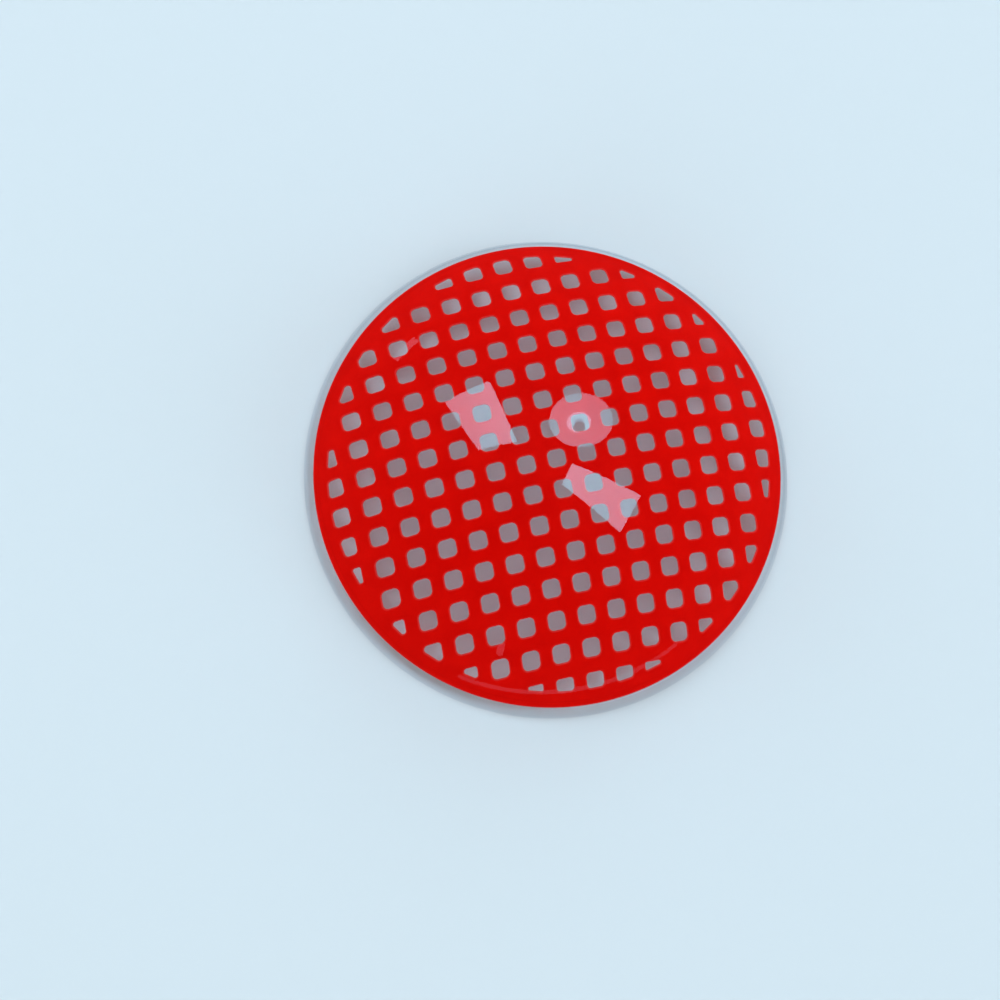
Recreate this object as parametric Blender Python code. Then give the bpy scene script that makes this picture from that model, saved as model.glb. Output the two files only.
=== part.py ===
"""Costume contact lens: a soft, clear hydrogel lens with a red mesh printed on its front.

The lens lies dome up on its rim, as it would on a table. Lengths are in metres and +Z is up. The origin
is the centre of the circle that the rim rests on, so the Z axis is the axis of the lens.
"""

import math

import bmesh
import bpy
from mathutils import Matrix, Vector
from mathutils.geometry import delaunay_2d_cdt

# Clear lens
DIAMETER = 0.0142  # over the rim
SAGITTA = 0.00365  # depth of the hollow: with this diameter it makes a base curve of 8.6 mm
CENTRE_THICKNESS = 0.00014
EDGE_THICKNESS = 0.00008
CLEAR_RIM = 0.00025  # bare bevelled rim outside the print, seen along the axis
RIM_FLAT = 0.00004  # width of the ring that touches the table
WIDEST_FLAT = 0.9  # of the lip's own width

# Printed mesh, measured on the flat printing plate
WINDOW_SIDE = 0.00058
WINDOW_CORNER = 0.00011
LINE_WIDTH = 0.00032
BORDER_WIDTH = 0.0004  # solid ring round the windows
INK_THICKNESS = 0.00003
INK_CLEARANCE = 0.000012  # from the lens to the ink
PAD_PULL = 0.021  # share by which the printing pad draws the pattern in at the edge of the print

# Facets
TURN_STEPS = 72
FRONT_STEPS = 10
BEVEL_STEPS = 2
LIP_STEPS = 2
BACK_STEPS = 9
CORNER_STEPS = 1
CORNER_SHARE = 0.4  # the most of a side that one rounded corner may take
SHORTEST_SIDE = 0.00003  # of a window, before its corners are rounded
SHARP_ANGLE = math.radians(40)
SAME_POINT = 1e-9
INSIDE_ONLY = 1  # keeps the triangles inside the outermost outline

# Rounded lip: half a circle that joins the front and back, with its underside cut flat
LIP_RADIUS = EDGE_THICKNESS / 2
LIP_FLAT = min(RIM_FLAT / 2, LIP_RADIUS * WIDEST_FLAT)
LIP_FROM_AXIS = DIAMETER / 2 - LIP_RADIUS
LIP_HEIGHT = math.sqrt(LIP_RADIUS**2 - LIP_FLAT**2)

# Base curve: the sphere through the apex of the hollow that is tangent to the lip
LIP_DROP = SAGITTA - LIP_HEIGHT
BASE_CURVE = (LIP_FROM_AXIS**2 + LIP_DROP**2 - LIP_RADIUS**2) / (2 * (LIP_DROP + LIP_RADIUS))
CURVE_CENTRE = SAGITTA - BASE_CURVE
FRONT_CURVE = BASE_CURVE + CENTRE_THICKNESS

# Print, seen along the axis and on its plate
PRINT_RADIUS = DIAMETER / 2 - CLEAR_RIM
PLATE_RADIUS = PRINT_RADIUS / (1 - PAD_PULL)
WINDOWS_RADIUS = PLATE_RADIUS - BORDER_WIDTH
PITCH = WINDOW_SIDE + LINE_WIDTH

# Angles from the axis, seen from the centre of the base curve
BEVEL_ANGLE = math.asin(PRINT_RADIUS / FRONT_CURVE)
LIP_ANGLE = math.atan2(LIP_FROM_AXIS, LIP_HEIGHT - CURVE_CENTRE)


def clear_scene():
    for obj in list(bpy.data.objects):
        bpy.data.objects.remove(obj)


def material(name, colour, roughness, transmission=0.0, ior=1.5):
    made = bpy.data.materials.new(name)
    made.use_nodes = True
    shader = made.node_tree.nodes["Principled BSDF"]
    shader.inputs["Base Color"].default_value = (*colour, 1.0)
    shader.inputs["Roughness"].default_value = roughness
    shader.inputs["Metallic"].default_value = 0.0
    shader.inputs["IOR"].default_value = ior
    shader.inputs["Transmission Weight"].default_value = transmission
    return made


def new_object(name, bm, finish, parent):
    mesh = bpy.data.meshes.new(name)
    bm.to_mesh(mesh)
    bm.free()
    mesh.materials.append(finish)
    obj = bpy.data.objects.new(name, mesh)
    bpy.context.scene.collection.objects.link(obj)
    obj.parent = parent
    return obj


def between(start, end, steps):
    """Evenly spaced values from start to end, both included."""
    return [start + (end - start) * step / steps for step in range(steps + 1)]


def on_curve(angle, radius):
    """(distance from the axis, height) of a point at this angle and radius from the base curve's centre."""
    return radius * math.sin(angle), CURVE_CENTRE + radius * math.cos(angle)


def on_lip(direction):
    """A point on the lip, in a direction measured up from horizontal."""
    return (
        LIP_FROM_AXIS + LIP_RADIUS * math.cos(direction),
        LIP_HEIGHT + LIP_RADIUS * math.sin(direction),
    )


def bevel_thickness(angle):
    """Thickness over the clear rim, which eases from the lens's own down to the edge's."""
    share = (angle - BEVEL_ANGLE) / (LIP_ANGLE - BEVEL_ANGLE)
    return EDGE_THICKNESS + (CENTRE_THICKNESS - EDGE_THICKNESS) * (1 + math.cos(math.pi * share)) / 2


def lens_profile():
    """Section of the lens, from the top out over the front, round the lip and back underneath."""
    front = [on_curve(angle, FRONT_CURVE) for angle in between(0, BEVEL_ANGLE, FRONT_STEPS)]
    bevel_angles = between(BEVEL_ANGLE, LIP_ANGLE, BEVEL_STEPS)[1:]
    bevel = [on_curve(angle, BASE_CURVE + bevel_thickness(angle)) for angle in bevel_angles]
    flat_half = math.asin(LIP_FLAT / LIP_RADIUS)
    down = -math.pi / 2
    outside = between(0, down + flat_half, LIP_STEPS)
    inside = [down - flat_half, down - LIP_ANGLE]
    lip = [on_lip(direction) for direction in outside + inside]
    back = [on_curve(angle, BASE_CURVE) for angle in between(LIP_ANGLE, 0, BACK_STEPS)[1:]]
    return front + bevel + lip + back


def make_lens_body(parent):
    """The cast lens: its section turned once round the axis."""
    bm = bmesh.new()
    points = [bm.verts.new((out, 0, up)) for out, up in lens_profile()]
    for first, second in zip(points, points[1:]):
        bm.edges.new((first, second))
    finish = material("clear_hydrogel", (0.93, 0.96, 0.97), 0.08, transmission=0.95, ior=1.42)
    obj = new_object("lens_body", bm, finish, parent)
    turn = obj.modifiers.new("turn", "SCREW")
    turn.axis = "Z"
    turn.angle = 2 * math.pi
    turn.steps = TURN_STEPS
    turn.render_steps = TURN_STEPS
    turn.use_merge_vertices = True
    turn.merge_threshold = 0.000001
    turn.use_smooth_shade = True
    return obj


def grid_points(shift):
    """Points of the grid inside the border: window centres, or half a step on, the crossings of the lines."""
    reach = math.ceil(WINDOWS_RADIUS / PITCH)
    steps = [step + shift for step in range(-reach, reach + 1)]
    points = [Vector((column, row)) * PITCH for row in steps for column in steps]
    return [point for point in points if point.length < WINDOWS_RADIUS]


def circle(radius):
    bearings = between(0, 2 * math.pi, TURN_STEPS)[:-1]
    return [Vector((math.cos(bearing), math.sin(bearing))) * radius for bearing in bearings]


def cut_at_border(outline, outward):
    """The part of an outline inside the border, whose edge is as good as straight across one window."""
    kept = []
    for here, after in zip(outline, outline[1:] + outline[:1]):
        room = WINDOWS_RADIUS - here.dot(outward)
        room_after = WINDOWS_RADIUS - after.dot(outward)
        if room >= 0:
            kept.append(here)
        if room * room_after < 0:
            kept.append(here.lerp(after, room / (room - room_after)))
    return kept


def without_short_sides(outline):
    kept = []
    for point in outline:
        if all((point - other).length > SHORTEST_SIDE for other in kept):
            kept.append(point)
    return kept


def round_corners(outline):
    """The outline with each corner rounded, as far as its shorter side leaves room."""
    rounded = []
    count = len(outline)
    for index, corner in enumerate(outline):
        before = outline[index - 1] - corner
        after = outline[(index + 1) % count] - corner
        room = min(before.length, after.length) * CORNER_SHARE
        half_angle = before.angle(after) / 2
        leg = min(WINDOW_CORNER / math.tan(half_angle), room)
        radius = leg * math.tan(half_angle)
        inward = (before.normalized() + after.normalized()).normalized()
        centre = corner + inward * (radius / math.sin(half_angle))
        start = corner + before.normalized() * leg - centre
        turn = math.pi - 2 * half_angle
        for angle in between(0, turn, CORNER_STEPS):
            rounded.append(centre + Matrix.Rotation(angle, 2) @ start)
    return rounded


def window_outline(centre):
    """One window on the plate, counter-clockwise: a rounded square, cut off where the border starts."""
    half = WINDOW_SIDE / 2
    square = [centre + Vector(corner) * half for corner in ((-1, -1), (1, -1), (1, 1), (-1, 1))]
    if centre.length > 0:
        square = cut_at_border(square, centre.normalized())
    return round_corners(without_short_sides(square))


def inside_outline(point, outline):
    sides = zip(outline, outline[1:] + outline[:1])
    return all((end - start).cross(point - start) > 0 for start, end in sides)


def plate_sheet():
    """(points, triangles) of the flat pattern: a disc with its windows left out."""
    windows = [window_outline(centre) for centre in grid_points(0)]
    points = grid_points(0.5) + circle(WINDOWS_RADIUS + BORDER_WIDTH / 4)
    edges = []
    for outline in [circle(PLATE_RADIUS), *windows]:
        start = len(points)
        count = len(outline)
        points += outline
        edges += [(start + index, start + (index + 1) % count) for index in range(count)]
    points, _, faces, _, _, _ = delaunay_2d_cdt(points, edges, [], INSIDE_ONLY, SAME_POINT)
    inked = []
    for face in faces:
        middle = sum((points[index] for index in face), Vector((0, 0))) / len(face)
        near = [window for window in windows if (middle - window[0]).length < 2 * PITCH]
        if not any(inside_outline(middle, window) for window in near):
            inked.append(face)
    return points, inked


def pressed_on(point):
    """A point of the plate, pressed on the dome."""
    pull = 1 - PAD_PULL * (point.length / PLATE_RADIUS) ** 2
    plan = point * pull
    up = math.sqrt(FRONT_CURVE**2 - plan.length_squared)
    outward = Vector((plan.x, plan.y, up)).normalized()
    return outward * (FRONT_CURVE + INK_CLEARANCE) + Vector((0, 0, CURVE_CENTRE))


def make_printed_mesh(parent):
    """The ink: a thin sheet on the dome, open at each window."""
    points, faces = plate_sheet()
    bm = bmesh.new()
    corners = [bm.verts.new(pressed_on(point)) for point in points]
    sheet = [bm.faces.new([corners[index] for index in face]) for face in faces]
    grown = bmesh.ops.extrude_face_region(bm, geom=sheet, use_keep_orig=True)
    middle = Vector((0, 0, CURVE_CENTRE))
    for corner in grown["geom"]:
        if isinstance(corner, bmesh.types.BMVert):
            corner.co += (corner.co - middle).normalized() * INK_THICKNESS
    bmesh.ops.recalc_face_normals(bm, faces=bm.faces)
    finish = material("red_pigment", (0.604, 0.002, 0.001), 0.3)
    obj = new_object("printed_mesh", bm, finish, parent)
    obj.data.shade_smooth()
    obj.data.set_sharp_from_angle(angle=SHARP_ANGLE)
    return obj


clear_scene()
contact_lens = bpy.data.objects.new("contact_lens", None)
bpy.context.scene.collection.objects.link(contact_lens)
make_lens_body(contact_lens)
make_printed_mesh(contact_lens)
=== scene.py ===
"""The looks of a soft costume contact lens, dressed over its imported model.

Lengths are in metres and +Z is up. The lens lies dome up on its rim, with the origin under its top.
"""

import math

import bmesh
import bpy
from mathutils import Matrix, Vector, noise
from mathutils.geometry import delaunay_2d_cdt


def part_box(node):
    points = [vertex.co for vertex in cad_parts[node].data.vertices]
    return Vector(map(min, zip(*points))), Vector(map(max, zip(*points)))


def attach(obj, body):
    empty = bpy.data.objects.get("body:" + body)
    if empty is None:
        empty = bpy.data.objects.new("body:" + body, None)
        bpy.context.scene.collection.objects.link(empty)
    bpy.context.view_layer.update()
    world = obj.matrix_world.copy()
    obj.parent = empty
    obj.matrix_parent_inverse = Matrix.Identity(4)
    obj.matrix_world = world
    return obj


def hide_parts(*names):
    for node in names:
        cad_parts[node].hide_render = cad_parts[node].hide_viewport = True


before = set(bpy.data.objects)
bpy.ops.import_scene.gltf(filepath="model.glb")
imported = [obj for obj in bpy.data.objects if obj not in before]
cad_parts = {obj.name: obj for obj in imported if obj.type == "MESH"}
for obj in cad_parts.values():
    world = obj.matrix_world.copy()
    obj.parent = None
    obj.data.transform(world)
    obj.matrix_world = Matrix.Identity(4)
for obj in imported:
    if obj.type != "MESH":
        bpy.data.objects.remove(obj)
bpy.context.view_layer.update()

# Clear lens
# The lens is one thin dome of hydrogel, a soft clear plastic that is about half water. It is cast between
# two polished moulds, so both faces are smooth, and in front it runs on over the print as one wet skin.

MM = 0.001
CENTRE_THICKNESS = 0.14 * MM
EDGE_THICKNESS = 0.08 * MM
RIM_FLAT = 0.04 * MM  # width of the ring that rests on the floor
INK_CLEARANCE = 0.012 * MM
INK_THICKNESS = 0.03 * MM
SKIN = 0.004 * MM  # gel over the ink
_, lens_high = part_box("lens_body")
_, ink_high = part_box("printed_mesh")

# The two curves of the lens, worked out from the size of the frame's lens
LENS_RADIUS = lens_high.x
SAGITTA = lens_high.z - CENTRE_THICKNESS
LIP_RADIUS = EDGE_THICKNESS / 2
LIP_FROM_AXIS = LENS_RADIUS - LIP_RADIUS
LIP_HEIGHT = math.sqrt(LIP_RADIUS**2 - (RIM_FLAT / 2) ** 2)
LIP_DROP = SAGITTA - LIP_HEIGHT
BASE_CURVE = (LIP_FROM_AXIS**2 + LIP_DROP**2 - LIP_RADIUS**2) / (2 * (LIP_DROP + LIP_RADIUS))
CURVE_CENTRE = SAGITTA - BASE_CURVE
FRONT_CURVE = BASE_CURVE + CENTRE_THICKNESS
INK_TOP = FRONT_CURVE + INK_CLEARANCE + INK_THICKNESS
PRINT_RADIUS = ink_high.x * FRONT_CURVE / INK_TOP
BEVEL_ANGLE = math.asin(PRINT_RADIUS / FRONT_CURVE)
LIP_ANGLE = math.atan2(LIP_FROM_AXIS, LIP_HEIGHT - CURVE_CENTRE)

TURN_STEPS = 288
FRONT_STEPS = 96
BEVEL_STEPS = 16
LIP_STEPS = 12
BACK_STEPS = 72
SAME_POINT = 1e-9

CLEAR_GEL = "FDFEFF"
GEL_PAINTED_EDGE_SHADE = "CDD9E0"  # painted shade: the gel's see-through colour darkened where it is seen along its face, round the lip, in place of the dark line that light bending at a real lens edge draws
COOL_SHEEN = "B0F0FC"
SHINE_HEAD_ON = 0.046  # share of light that water-rich gel mirrors when seen straight on
SHINE_GRAZING = 0.12  # and when seen along its face, less what the soft wet skin scatters
AS_IT_IS = 0.5  # blend at which Layer Weight gives the plain slant of the surface
GRAZING_POWER = 5.0  # the gloss rises as the fifth power of the slant
WET_ROUGHNESS = 0.018
RIPPLE_SIZE = 1.6 * MM
RIPPLE_HEIGHT = 0.00025 * MM


def linear(colour):
    """An sRGB hex colour as linear red, green, blue and alpha."""
    shares = [int(colour[place : place + 2], 16) / 255 for place in (0, 2, 4)]
    light = [share / 12.92 if share <= 0.04045 else ((share + 0.055) / 1.055) ** 2.4 for share in shares]
    return (*light, 1.0)


def new_material(name):
    """A material with nothing in it but its output."""
    made = bpy.data.materials.new(name)
    made.use_nodes = True
    made.node_tree.nodes.clear()
    return made


def add_node(owner, kind, settings, inputs):
    """Adds a node to a material or world. Each input is given a value, or the output that feeds it."""
    node = owner.node_tree.nodes.new(kind)
    for name, value in settings.items():
        setattr(node, name, value)
    for name, value in inputs.items():
        if isinstance(value, bpy.types.NodeSocket):
            owner.node_tree.links.new(value, node.inputs[name])
        else:
            node.inputs[name].default_value = value
    return node


def new_piece(name, bm, material):
    """A smooth-shaded object from a bmesh."""
    mesh = bpy.data.meshes.new(name)
    bm.to_mesh(mesh)
    bm.free()
    mesh.materials.append(material)
    mesh.shade_smooth()
    piece = bpy.data.objects.new(name, mesh)
    bpy.context.scene.collection.objects.link(piece)
    return piece


def between(start, end, steps):
    """Evenly spaced values from start to end, both included."""
    return [start + (end - start) * step / steps for step in range(steps + 1)]


def on_curve(angle, radius):
    """(distance from the axis, height) at this angle and radius from the centre of the base curve."""
    return radius * math.sin(angle), CURVE_CENTRE + radius * math.cos(angle)


def on_lip(direction):
    """A point of the lip, in a direction measured up from horizontal."""
    return LIP_FROM_AXIS + LIP_RADIUS * math.cos(direction), LIP_HEIGHT + LIP_RADIUS * math.sin(direction)


def gel_profile():
    """Section of the gel: out over the print, down the bevel, round the lip and back underneath."""
    front = [on_curve(angle, INK_TOP + SKIN) for angle in between(0, BEVEL_ANGLE, FRONT_STEPS)]
    bevel = []
    for share in between(0, 1, BEVEL_STEPS)[1:]:
        angle = BEVEL_ANGLE + (LIP_ANGLE - BEVEL_ANGLE) * share
        eased = (1 + math.cos(math.pi * share)) / 2
        height = EDGE_THICKNESS + (INK_TOP + SKIN - BASE_CURVE - EDGE_THICKNESS) * eased
        bevel.append(on_curve(angle, BASE_CURVE + height))
    flat_half = math.asin(RIM_FLAT / 2 / LIP_RADIUS)
    down = -math.pi / 2
    outside = [on_lip(direction) for direction in between(LIP_ANGLE / 2, down + flat_half, LIP_STEPS)]
    inside = [on_lip(direction) for direction in between(down - flat_half, down - LIP_ANGLE, LIP_STEPS)]
    back = [on_curve(angle, BASE_CURVE) for angle in between(LIP_ANGLE, 0, BACK_STEPS)[1:]]
    return front + bevel + outside + inside + back


def turned_gel():
    """The section turned once round the axis."""
    bm = bmesh.new()
    points = [bm.verts.new((out, 0, up)) for out, up in gel_profile()]
    edges = [bm.edges.new(pair) for pair in zip(points, points[1:])]
    whole = points + edges
    bmesh.ops.spin(bm, geom=whole, axis=(0, 0, 1), angle=2 * math.pi, steps=TURN_STEPS, use_merge=True)
    bmesh.ops.remove_doubles(bm, verts=bm.verts, dist=SAME_POINT)
    bmesh.ops.recalc_face_normals(bm, faces=bm.faces)
    return bm


# Hydrogel, cast: it lets nearly all light straight through and mirrors a little, more where it is seen along
# its face. The tear film on it is glossy, with ripples that show only at the edges of a reflection.
hydrogel = new_material("cast_hydrogel_wet")
gel_spot = add_node(hydrogel, "ShaderNodeTexCoord", {}, {}).outputs["Object"]
ripple = add_node(
    hydrogel, "ShaderNodeTexNoise", {}, {"Vector": gel_spot, "Scale": 1 / RIPPLE_SIZE, "Detail": 0.0}
)
film = add_node(
    hydrogel,
    "ShaderNodeBump",
    {},
    {"Height": ripple.outputs["Fac"], "Distance": RIPPLE_HEIGHT, "Strength": 1.0},
)
slant = add_node(hydrogel, "ShaderNodeLayerWeight", {}, {"Blend": AS_IT_IS})
steep = add_node(
    hydrogel, "ShaderNodeMath", {"operation": "POWER"}, {0: slant.outputs["Facing"], 1: GRAZING_POWER}
)
mirrored = add_node(
    hydrogel,
    "ShaderNodeMath",
    {"operation": "MULTIPLY_ADD"},
    {0: steep.outputs["Value"], 1: SHINE_GRAZING - SHINE_HEAD_ON, 2: SHINE_HEAD_ON},
)
inside = add_node(hydrogel, "ShaderNodeNewGeometry", {}, {}).outputs["Backfacing"]
outside = add_node(hydrogel, "ShaderNodeMath", {"operation": "SUBTRACT"}, {0: 1.0, 1: inside})
mirrored_outside = add_node(
    hydrogel,
    "ShaderNodeMath",
    {"operation": "MULTIPLY"},
    {0: mirrored.outputs["Value"], 1: outside.outputs["Value"]},
)
# Painted shade: where the gel is seen along its face, what shows through it is darkened, which draws the
# lens's outline round the lip.
through_colour_painted_edge = add_node(
    hydrogel,
    "ShaderNodeMix",
    {"data_type": "RGBA"},
    {"Factor": steep.outputs["Value"], 6: linear(CLEAR_GEL), 7: linear(GEL_PAINTED_EDGE_SHADE)},
)
through = add_node(hydrogel, "ShaderNodeBsdfTransparent", {}, {"Color": through_colour_painted_edge.outputs[2]})
gloss = add_node(
    hydrogel,
    "ShaderNodeBsdfAnisotropic",
    {},
    {"Color": linear(COOL_SHEEN), "Roughness": WET_ROUGHNESS, "Normal": film.outputs["Normal"]},
)
gel_surface = add_node(
    hydrogel,
    "ShaderNodeMixShader",
    {},
    {0: mirrored_outside.outputs["Value"], 1: through.outputs["BSDF"], 2: gloss.outputs["BSDF"]},
)
add_node(hydrogel, "ShaderNodeOutputMaterial", {}, {"Surface": gel_surface.outputs["Shader"]})

gel = new_piece("clear_gel", turned_gel(), hydrogel)
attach(gel, "root")
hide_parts("lens_body")

# Printed mesh
# The red is pigment, stamped on the front of the lens by a soft silicone pad in one go: a square mesh in a
# solid ring. The pad bulges as it lands, so it draws the squares in, and squeezes the outermost back out.

WINDOW_SIDE = 0.51 * MM  # between the thin edges of the ink, which creep in a little all round
WINDOW_CORNER = 0.152 * MM
ROUNDNESS = 0.6  # the most that a corner's radius may be, as a share of the largest circle's in the window
LINE_WIDTH = 0.39 * MM
BORDER_WIDTH = 0.425 * MM
PAD_PULL = 0.021
SLIP = Vector((-0.037 * MM, -0.08 * MM))  # how far the mesh was stamped from the middle of its ring
SQUEEZE = 0.05 * MM  # how far the pad pressed the outermost windows outward
ROLL = Vector((0.1 * MM, 0.17 * MM))  # and how far it rolled them along on one side
ROLLED_SIDE = Vector((0.87, 0.5))  # direction of that side
SQUEEZE_POWER = 8  # how steeply both grow towards the border
PITCH = WINDOW_SIDE + LINE_WIDTH
PLATE_RADIUS = PRINT_RADIUS / (1 - PAD_PULL)
WINDOWS_RADIUS = PLATE_RADIUS - BORDER_WIDTH
SHOULDER = ((0.0, 0.3), (0.012 * MM, 0.65), (0.035 * MM, 0.92), (0.075 * MM, 1.0))  # (from the edge, height)
CORNER_STEPS = 6
SIDE_SHARES = (1 / 3, 1 / 2)  # how far along each straight side it is divided
SMALLEST_CORNER = 0.01 * MM  # in a window that the border cuts down to a sliver
TIGHTER = 0.9  # share that a corner's radius is cut to at each try, until it fits
SHORTEST_SIDE = 0.002 * MM
BORDER_STEPS = 480
INSIDE_ONLY = 1  # keeps the triangles inside the outermost outline
NO_WINDOW = -1  # marks a point that isn't on the edge of a window
WOBBLE = 0.009 * MM  # how far the ink's edge wanders
WOBBLE_LENGTH = 0.35 * MM
WOBBLE_FADE = 2  # it fades over the outer half, so that the print's own edge stays round
WOBBLE_SEED = 5  # of its one random draw, so that it wanders the same way in every run
SHARP_ANGLE = math.radians(50)

RED = "F40B03"
DEEP_RED = "E80601"
THIN_RED = "EE4642"
THIN_EDGE = 0.05 * MM
BLOTCH_SIZE = 0.8 * MM
GRAIN_SIZE = 0.06 * MM
GRAIN_SHARE = 0.5  # of the grain, next to the blotches
DENSITY_RANGE = (0.5, 1.0)  # of the two together, from the deep red to the bright
DARK_RING_INSET = 0.115 * MM  # faint dark ring in the red, this far in from the edge of the print
DARK_RING_WIDTH = 0.03 * MM
DARK_RING_DEPTH = 0.8
LET_THROUGH = 0.2  # share of the light that the ink scatters to its far side
INK_ROUGHNESS = 0.5
UNDER_GEL_SHINE = 0.02


def grid_points(shift):
    """Points of the grid inside the border: window centres, or half a step on, crossings of the lines."""
    reach = math.ceil(WINDOWS_RADIUS / PITCH)
    steps = [step + shift for step in range(-reach, reach + 1)]
    stamped = []
    for plain in [Vector((column, row)) * PITCH for row in steps for column in steps]:
        if plain.length < WINDOWS_RADIUS:
            near_border = (plain.length / WINDOWS_RADIUS) ** SQUEEZE_POWER
            outward = plain.normalized()
            pushed = outward * SQUEEZE + ROLL * max(0, outward.dot(ROLLED_SIDE))
            stamped.append(plain + SLIP + pushed * near_border)
    return stamped


def circle(radius, steps):
    bearings = between(0, 2 * math.pi, steps)[:-1]
    return [Vector((math.cos(bearing), math.sin(bearing))) * radius for bearing in bearings]


def cut_off(outline, outward, limit):
    """The part of an outline that reaches no further than limit in the direction outward."""
    kept = []
    for here, after in zip(outline, outline[1:] + outline[:1]):
        room = limit - here.dot(outward)
        room_after = limit - after.dot(outward)
        if room >= 0:
            kept.append(here)
        if room * room_after < 0:
            kept.append(here.lerp(after, room / (room - room_after)))
    return kept


def inset(outline, distance):
    """A convex, counter-clockwise outline moved in by this distance, which may leave no points."""
    kept = outline
    for start, end in zip(outline, outline[1:] + outline[:1]):
        outward = -(end - start).normalized().orthogonal()
        kept = cut_off(kept, outward, start.dot(outward) - distance)
    return [point for index, point in enumerate(kept) if (point - kept[index - 1]).length > SHORTEST_SIDE]


def rounded(outline, radius, grow):
    """The outline with its corners rounded and its sides divided, then moved out by grow."""
    core = inset(outline, radius)
    points = []
    count = len(core)
    for index, corner in enumerate(core):
        following = core[(index + 1) % count]
        outward = -(corner - core[index - 1]).normalized().orthogonal()
        turn = (corner - core[index - 1]).angle_signed(following - corner)
        spoke = outward * (radius + grow)
        points += [corner + Matrix.Rotation(-angle, 2) @ spoke for angle in between(0, turn, CORNER_STEPS)]
        start_of_next = following - (following - corner).normalized().orthogonal() * (radius + grow)
        points += [points[-1].lerp(start_of_next, share) for share in SIDE_SHARES]
    return points


def window_outline(centre, grow):
    """One window on the plate, counter-clockwise and cut off at the border, or the line this far round it."""
    half = WINDOW_SIDE / 2
    square = [centre + Vector(corner) * half for corner in ((-1, -1), (1, -1), (1, 1), (-1, 1))]
    if centre.length > 0:
        square = cut_off(square, centre.normalized(), WINDOWS_RADIUS)
    radius = WINDOW_CORNER
    while len(inset(square, radius / ROUNDNESS)) < 3 and radius > SMALLEST_CORNER:
        radius *= TIGHTER
    return rounded(square, radius, grow)


def plate_sheet():
    """(points, distances from the ink's edge, triangles) of the flat pattern, with its windows left out."""
    points, from_edge, window_of, edges = [], [], [], []

    def add_outline(outline, distance, window):
        start, count = len(points), len(outline)
        edges.extend((start + index, start + (index + 1) % count) for index in range(count))
        points.extend(outline)
        from_edge.extend([distance] * count)
        window_of.extend([window] * count)

    deepest = SHOULDER[-1][0]
    for distance, _ in SHOULDER:
        add_outline(circle(PLATE_RADIUS - distance, BORDER_STEPS), distance, NO_WINDOW)
        for window, centre in enumerate(grid_points(0)):
            outline = window_outline(centre, distance)
            if outline:
                add_outline(outline, distance, window if distance == 0 else NO_WINDOW)
    add_outline(circle(PLATE_RADIUS - BORDER_WIDTH / 2, BORDER_STEPS), deepest, NO_WINDOW)
    for crossing in grid_points(0.5):
        points.append(crossing)
        from_edge.append(deepest)
        window_of.append(NO_WINDOW)
    flat, _, faces, sources, _, _ = delaunay_2d_cdt(points, edges, [], INSIDE_ONLY, SAME_POINT)
    first_source = [source[0] for source in sources]
    inked = []
    for face in faces:
        windows = {window_of[first_source[corner]] for corner in face}
        if len(windows) > 1 or NO_WINDOW in windows:
            inked.append(face)
    return flat, [from_edge[source] for source in first_source], inked


def pressed_on(point):
    """Where the dome's curves meet a point of the plate: a direction from the centre of the base curve."""
    spot = Vector((point.x, point.y, 0)) / WOBBLE_LENGTH
    wander = noise.noise_vector(spot).to_2d() * WOBBLE
    pull = 1 - PAD_PULL * (point.length / PLATE_RADIUS) ** 2
    plan = (point + wander * min(1, WOBBLE_FADE * (1 - point.length / PLATE_RADIUS))) * pull
    return Vector((plan.x, plan.y, math.sqrt(FRONT_CURVE**2 - plan.length_squared))).normalized()


def ink_height(distance):
    """Share of the ink's full thickness at this distance from its edge."""
    for (near, low), (far, high) in zip(SHOULDER, SHOULDER[1:]):
        if distance <= far:
            return low + (high - low) * (distance - near) / (far - near)
    return SHOULDER[-1][1]


def pressed_ink():
    """The ink on the dome, with how far each point lies from its edge kept in an attribute."""
    noise.seed_set(WOBBLE_SEED)
    flat, from_edge, faces = plate_sheet()
    centre = Vector((0, 0, CURVE_CENTRE))
    bm = bmesh.new()
    depth = bm.verts.layers.float.new("from_edge_mm")
    under_ink = FRONT_CURVE + INK_CLEARANCE
    corners = []
    for point, distance in zip(flat, from_edge):
        outward = pressed_on(point)
        corner = bm.verts.new(centre + outward * (under_ink + INK_THICKNESS * ink_height(distance)))
        corner[depth] = distance / MM
        corners.append(corner)
    sheet = [bm.faces.new([corners[index] for index in face]) for face in faces]
    lower = bmesh.ops.extrude_face_region(bm, geom=sheet, use_keep_orig=True)
    for corner in lower["geom"]:
        if isinstance(corner, bmesh.types.BMVert):
            corner.co = centre + (corner.co - centre).normalized() * under_ink
    loose = [corner for corner in bm.verts if not corner.link_faces]
    bmesh.ops.delete(bm, geom=loose, context="VERTS")
    bmesh.ops.recalc_face_normals(bm, faces=bm.faces)
    return bm


# Pad-printed pigment: dense, matte and bright. It is cloudy where the ink lies unevenly, finely grained by
# its pigment, paler at its thin edges, and lets a little light through, so the hollow under it glows red.
pigment = new_material("pad_printed_red_pigment")
spot = add_node(pigment, "ShaderNodeTexCoord", {}, {}).outputs["Object"]
clouds = add_node(
    pigment, "ShaderNodeTexNoise", {}, {"Vector": spot, "Scale": 1 / BLOTCH_SIZE, "Detail": 3.0}
)
grain = add_node(
    pigment, "ShaderNodeTexNoise", {}, {"Vector": spot, "Scale": 1 / GRAIN_SIZE, "Detail": 2.0}
)
uneven = add_node(
    pigment,
    "ShaderNodeMath",
    {"operation": "MULTIPLY_ADD"},
    {0: grain.outputs["Fac"], 1: GRAIN_SHARE, 2: clouds.outputs["Fac"]},
)
density = add_node(
    pigment,
    "ShaderNodeMapRange",
    {},
    {"Value": uneven.outputs["Value"], "From Min": DENSITY_RANGE[0], "From Max": DENSITY_RANGE[1]},
)
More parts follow.
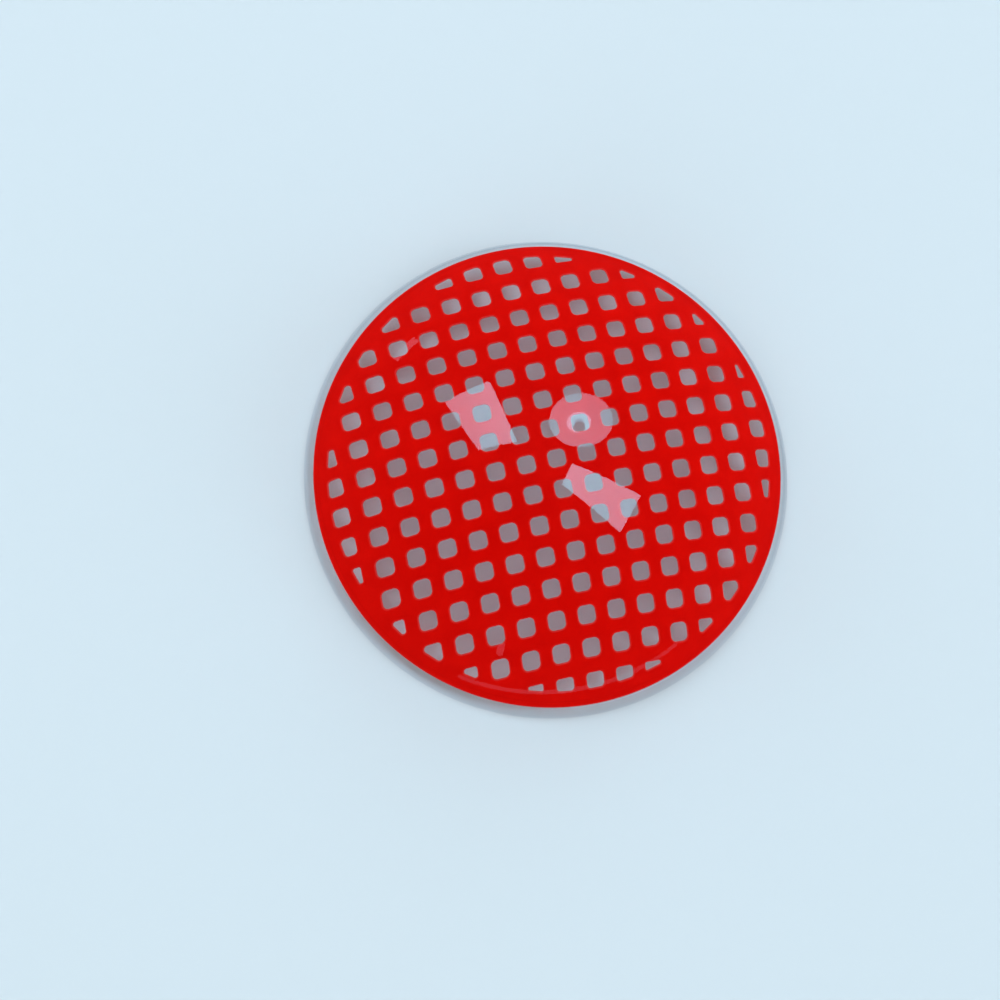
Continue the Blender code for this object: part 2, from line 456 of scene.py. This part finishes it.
mottled = add_node(
    pigment,
    "ShaderNodeMix",
    {"data_type": "RGBA"},
    {"Factor": density.outputs["Result"], 6: linear(DEEP_RED), 7: linear(RED)},
)
edge_distance = add_node(pigment, "ShaderNodeAttribute", {"attribute_name": "from_edge_mm"}, {})
thinness = add_node(
    pigment,
    "ShaderNodeMapRange",
    {"interpolation_type": "SMOOTHSTEP"},
    {
        "Value": edge_distance.outputs["Fac"],
        "From Min": 0.0,
        "From Max": THIN_EDGE / MM,
        "To Min": 1.0,
        "To Max": 0.0,
    },
)
feathered = add_node(
    pigment,
    "ShaderNodeMix",
    {"data_type": "RGBA"},
    {"Factor": thinness.outputs["Result"], 6: mottled.outputs[2], 7: linear(THIN_RED)},
)
flat_spot = add_node(
    pigment, "ShaderNodeVectorMath", {"operation": "MULTIPLY"}, {0: spot, 1: (1.0, 1.0, 0.0)}
)
from_axis = add_node(
    pigment, "ShaderNodeVectorMath", {"operation": "LENGTH"}, {0: flat_spot.outputs["Vector"]}
)
# A faint ring just inside the edge of the print, where the red is mixed towards the deep red.
off_dark_ring = add_node(
    pigment,
    "ShaderNodeMath",
    {"operation": "SUBTRACT"},
    {0: from_axis.outputs["Value"], 1: PRINT_RADIUS - DARK_RING_INSET},
)
off_dark_ring_size = add_node(
    pigment, "ShaderNodeMath", {"operation": "ABSOLUTE"}, {0: off_dark_ring.outputs["Value"]}
)
dark_ringed = add_node(
    pigment,
    "ShaderNodeMapRange",
    {"interpolation_type": "SMOOTHSTEP"},
    {
        "Value": off_dark_ring_size.outputs["Value"],
        "From Min": 0.0,
        "From Max": DARK_RING_WIDTH,
        "To Min": DARK_RING_DEPTH,
        "To Max": 0.0,
    },
)
red = add_node(
    pigment,
    "ShaderNodeMix",
    {"data_type": "RGBA"},
    {"Factor": dark_ringed.outputs["Result"], 6: feathered.outputs[2], 7: linear(DEEP_RED)},
)
ink_face = add_node(
    pigment,
    "ShaderNodeBsdfPrincipled",
    {},
    {"Base Color": red.outputs[2], "Roughness": INK_ROUGHNESS, "Specular IOR Level": UNDER_GEL_SHINE},
)
ink_glow = add_node(pigment, "ShaderNodeBsdfTranslucent", {}, {"Color": red.outputs[2]})
ink_surface = add_node(
    pigment,
    "ShaderNodeMixShader",
    {},
    {0: LET_THROUGH, 1: ink_face.outputs["BSDF"], 2: ink_glow.outputs["BSDF"]},
)
add_node(pigment, "ShaderNodeOutputMaterial", {}, {"Surface": ink_surface.outputs["Shader"]})

ink = new_piece("red_mesh", pressed_ink(), pigment)
ink.data.set_sharp_from_angle(angle=SHARP_ANGLE)
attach(ink, "root")
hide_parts("printed_mesh")

# Floor
# A plain sheet of pale, faintly blue plastic film, as lies under small things in a product studio. It is laid
# flat, and its finely matte face scatters what little light it mirrors.

FLOOR_RADIUS = 0.7
FLOOR_STEPS = 96
FLOOR_GAP = 0.001 * MM
PALE = "DFE7E8"
FILM_ROUGHNESS = 0.9
FILM_SHINE = 0.1

film_sheet = new_material("matte_pale_plastic_film")
sheet_face = add_node(
    film_sheet,
    "ShaderNodeBsdfPrincipled",
    {},
    {"Base Color": linear(PALE), "Roughness": FILM_ROUGHNESS, "Specular IOR Level": FILM_SHINE},
)
add_node(film_sheet, "ShaderNodeOutputMaterial", {}, {"Surface": sheet_face.outputs["BSDF"]})

bm = bmesh.new()
bmesh.ops.create_circle(bm, cap_ends=True, segments=FLOOR_STEPS, radius=FLOOR_RADIUS)
floor = new_piece("floor", bm, film_sheet)
floor.location.z = -FLOOR_GAP
floor.visible_glossy = False

# Lights
# Two soft boxes and a round one with a ring flash in front of it, close above the lens, and low and small
# lights farther down. The wet lens mirrors each as a small bright patch.

LIGHT_DISTANCE = 0.3
LIGHT_COLOUR = "DAEEFF"
RING_DISTANCE = 0.28
CAP_DISTANCE = RING_DISTANCE - 0.002
ROUND_TURNS = (0.0, 19.0, 25.6)  # of the round soft box, and of the ring flash in front of it
ROUND_STEPS = 64


def bright_cloth(name, strength, middle, lean):
    """The lit front of a lamp. Lean points to its brighter side, by its length as a share for each metre."""
    cloth = new_material(name)
    lit = add_node(cloth, "ShaderNodeEmission", {}, {"Color": linear(LIGHT_COLOUR), "Strength": strength})
    if lean:
        position = add_node(cloth, "ShaderNodeNewGeometry", {}, {}).outputs["Position"]
        along = add_node(
            cloth, "ShaderNodeVectorMath", {"operation": "DOT_PRODUCT"}, {0: position, 1: lean}
        )
        glow = add_node(
            cloth,
            "ShaderNodeMath",
            {"operation": "MULTIPLY_ADD"},
            {0: along.outputs["Value"], 1: strength, 2: strength * (1 - middle.dot(lean))},
        )
        cloth.node_tree.links.new(glow.outputs["Value"], lit.inputs["Strength"])
    add_node(cloth, "ShaderNodeOutputMaterial", {}, {"Surface": lit.outputs["Emission"]})
    return cloth


def hang_lamp(name, outline, strength, place, turns=(0.0, 0.0, 0.0), hole=None, lean=None):
    """A flat lamp at a place (bearing, elevation, distance), which faces the lens but for its turns.

    Angles are in degrees. The turns are about its own Z, X and Y, one after another.
    """
    bearing, elevation, distance = math.radians(place[0]), math.radians(place[1]), place[2]
    flat = math.cos(elevation)
    direction = Vector((flat * math.cos(bearing), flat * math.sin(bearing), math.sin(elevation)))
    bm = bmesh.new()
    corners = [bm.verts.new((x, y, 0)) for x, y in outline]
    if hole:
        inner = [bm.verts.new((x, y, 0)) for x, y in hole]
        for index in range(len(outline)):
            after = (index + 1) % len(outline)
            bm.faces.new((corners[index], corners[after], inner[after], inner[index]))
    else:
        bm.faces.new(corners)
    lamp = new_piece(name, bm, bright_cloth(name + "_cloth", strength, direction * distance, lean))
    side = Vector((0, 0, 1)).cross(direction).normalized()
    facing = Matrix((side, direction.cross(side), direction)).transposed().to_4x4()
    for turn, axis in zip(turns, "ZXY"):
        facing = facing @ Matrix.Rotation(math.radians(turn), 4, axis)
    lamp.matrix_world = Matrix.Translation(direction * distance) @ facing
    lamp.visible_camera = False
    return lamp


def panel(width, height):
    return [(x * width / 2, y * height / 2) for x, y in ((-1, -1), (1, -1), (1, 1), (-1, 1))]


def ring(radius):
    return [tuple(point) for point in circle(radius, ROUND_STEPS)]


hang_lamp(
    "square_soft_box",
    panel(0.095, 0.148),
    strength=6.0,
    place=(120.2, 55.7, LIGHT_DISTANCE),
    turns=(164.2, -23.1, 30.0),
    lean=(1.9, -0.8, 0),
)
hang_lamp(
    "strip_soft_box",
    panel(0.227, 0.062),
    strength=6.5,
    place=(-17.0, 72.1, LIGHT_DISTANCE),
    turns=(-112.6, -0.8, 51.3),
    lean=(-0.9, 1.1, 0),
)
hang_lamp(
    "round_soft_box",
    ring(0.064),
    strength=4.2,
    place=(45.7, 61.9, LIGHT_DISTANCE),
    turns=ROUND_TURNS,
    lean=(-1.1, -1.7, 0),
)
hang_lamp(
    "ring_flash",
    ring(0.023),
    strength=9.4,
    place=(47.8, 62.7, RING_DISTANCE),
    turns=ROUND_TURNS,
    hole=ring(0.009),
)
hang_lamp(
    "ring_flash_cap", ring(0.0115), strength=0.3, place=(45.9, 64.2, CAP_DISTANCE), turns=ROUND_TURNS
)
hang_lamp("far_strip_box", panel(0.044, 0.018), strength=1.5, place=(117.0, 8.8, LIGHT_DISTANCE))
hang_lamp("low_strip", panel(0.42, 0.011), strength=0.5, place=(-91.0, 4.9, LIGHT_DISTANCE))
hang_lamp("small_reflector", panel(0.012, 0.03), strength=0.7, place=(-116.0, 22.0, LIGHT_DISTANCE))

# White boards on four sides, which throw light on the slopes of the dome. The wet lens doesn't mirror them.
BOARD_DISTANCE = 0.6
BOARD_HEIGHT = 25.0  # as an angle above the floor
BOARD_SIDE = 0.3
BOARDS = (("right", -30, 3.5), ("back", 60, 3.0), ("left", 150, 2.3), ("front", -120, 3.0))
for side, bearing, strength in BOARDS:
    place = (bearing, BOARD_HEIGHT, BOARD_DISTANCE)
    board = hang_lamp(side + "_board", panel(BOARD_SIDE, BOARD_SIDE), strength, place)
    board.visible_glossy = False

# Room
# A white room, whose walls are lit more than its ceiling, so that the slopes of the dome get more light than
# its top. The wet lens mirrors only the lamps.

ROOM = "DCE6EE"
WARM_FILL = "F2EAE0"
WALL_LIGHT = 2.45
CEILING_LIGHT = 0.22
WALL_TOP = 0.5  # sine of the angle at which the walls end
room = bpy.data.worlds.new("white_room")
room.use_nodes = True
room.node_tree.nodes.clear()
towards = add_node(room, "ShaderNodeTexCoord", {}, {}).outputs["Generated"]
climb = add_node(room, "ShaderNodeSeparateXYZ", {}, {0: towards}).outputs["Z"]
brightness = add_node(
    room,
    "ShaderNodeMapRange",
    {"interpolation_type": "SMOOTHSTEP"},
    {"Value": climb, "From Min": 0.0, "From Max": WALL_TOP, "To Min": WALL_LIGHT, "To Max": CEILING_LIGHT},
)
fill_light = add_node(
    room, "ShaderNodeBackground", {}, {"Color": linear(WARM_FILL), "Strength": brightness.outputs["Result"]}
)
seen_wall = add_node(room, "ShaderNodeBackground", {}, {"Color": linear(ROOM), "Strength": 1.0})
ray_kind = add_node(room, "ShaderNodeLightPath", {}, {})
wall = add_node(
    room,
    "ShaderNodeMixShader",
    {},
    {
        0: ray_kind.outputs["Is Camera Ray"],
        1: fill_light.outputs["Background"],
        2: seen_wall.outputs["Background"],
    },
)
add_node(room, "ShaderNodeOutputWorld", {}, {"Surface": wall.outputs["Shader"]})
bpy.context.scene.world = room
room.cycles_visibility.glossy = False

# Camera
# A camera with a long lens, which looks down on the dome from a little to one side. It stands far off, so the
# near and far parts of the dome are seen at almost the same scale.

CAMERA_DISTANCE = 0.4
FOCAL_LENGTH = 492.2  # in mm, as Blender takes it, on its usual sensor 36 mm wide
PLAN_TURN = 11.777
NOD = 10.63
LEAN = 4.985
AIM_HEIGHT = 0.48 * MM
OFF_CENTRE = (-1.383 * MM, -0.686 * MM)
NEAREST_SEEN = 0.01
FARTHEST_SEEN = 10

lens_of_camera = bpy.data.cameras.new("camera")
lens_of_camera.lens = FOCAL_LENGTH
lens_of_camera.clip_start = NEAREST_SEEN
lens_of_camera.clip_end = FARTHEST_SEEN
camera = bpy.data.objects.new("camera", lens_of_camera)
bpy.context.scene.collection.objects.link(camera)
camera.matrix_world = (
    Matrix.Translation((0, 0, AIM_HEIGHT))
    @ Matrix.Rotation(math.radians(-PLAN_TURN), 4, "Z")
    @ Matrix.Rotation(math.radians(NOD), 4, "X")
    @ Matrix.Rotation(math.radians(-LEAN), 4, "Y")
    @ Matrix.Translation((*OFF_CENTRE, CAMERA_DISTANCE))
)
bpy.context.scene.camera = camera
bpy.context.scene.view_settings.view_transform = "Standard"
